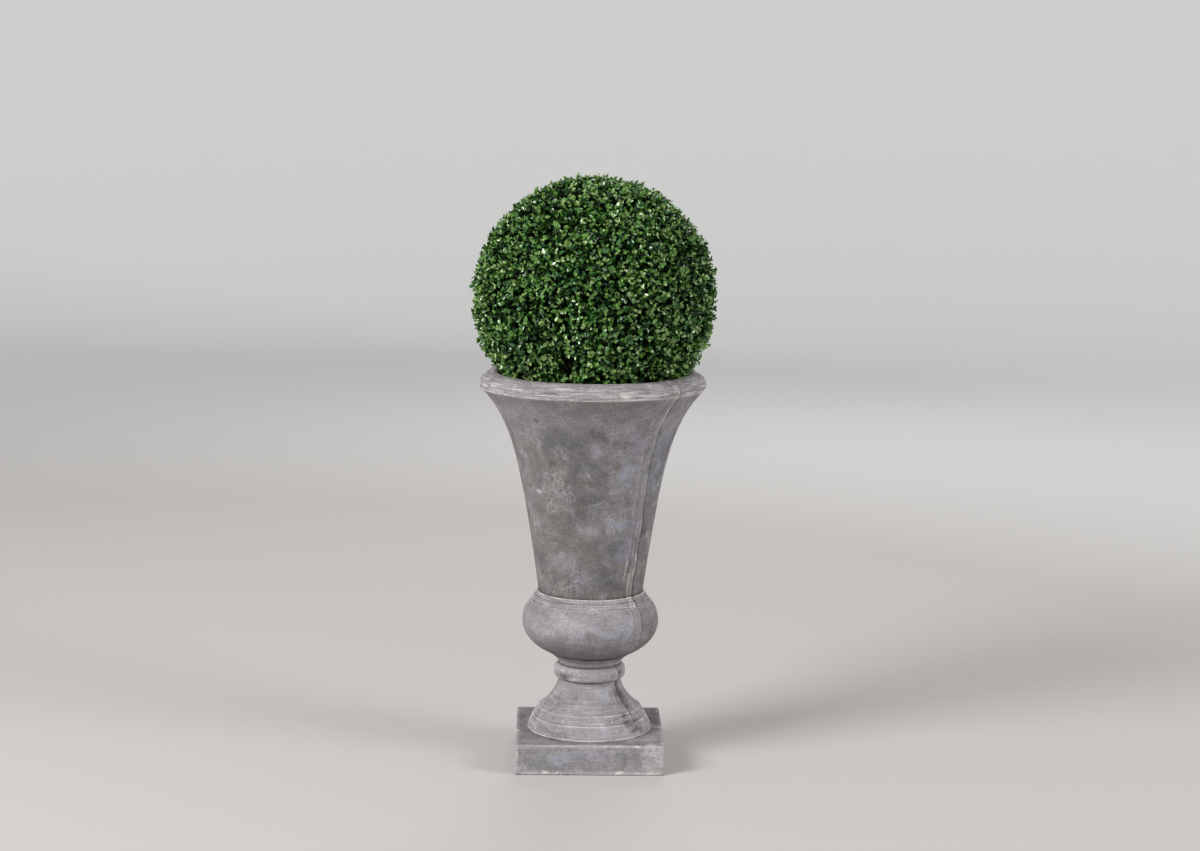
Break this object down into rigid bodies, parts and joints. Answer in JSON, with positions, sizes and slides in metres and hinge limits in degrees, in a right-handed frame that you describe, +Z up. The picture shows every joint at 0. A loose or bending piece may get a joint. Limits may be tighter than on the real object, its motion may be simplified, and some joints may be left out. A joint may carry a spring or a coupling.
{
  "type": "box topiary ball in a pedestal urn",
  "caption": "Clipped ball of small glossy box leaves on a short hidden stem, set in the mouth of a tall weathered grey urn with a bulb, a turned foot and a square plinth.",
  "frame": {"origin": "centre of the plinth's flat underside, on the floor", "axes": "+Z up the urn's axis, +X to the right seen from the front, -Y towards the front; the plinth's sides lie along X and Y"},
  "size_m": [0.4918, 0.491, 1.1929],
  "materials": {
    "stone": "matte",
    "soil": "matte",
    "bark": "matte",
    "leaves": "satin"
  },
  "bodies": {
    "root": {"plinth": "stone", "pedestal": "stone", "bulb": "stone", "bowl": "stone", "soil": "soil", "stem": "bark", "leaf_ball": "leaves"}
  },
  "joints": []
}
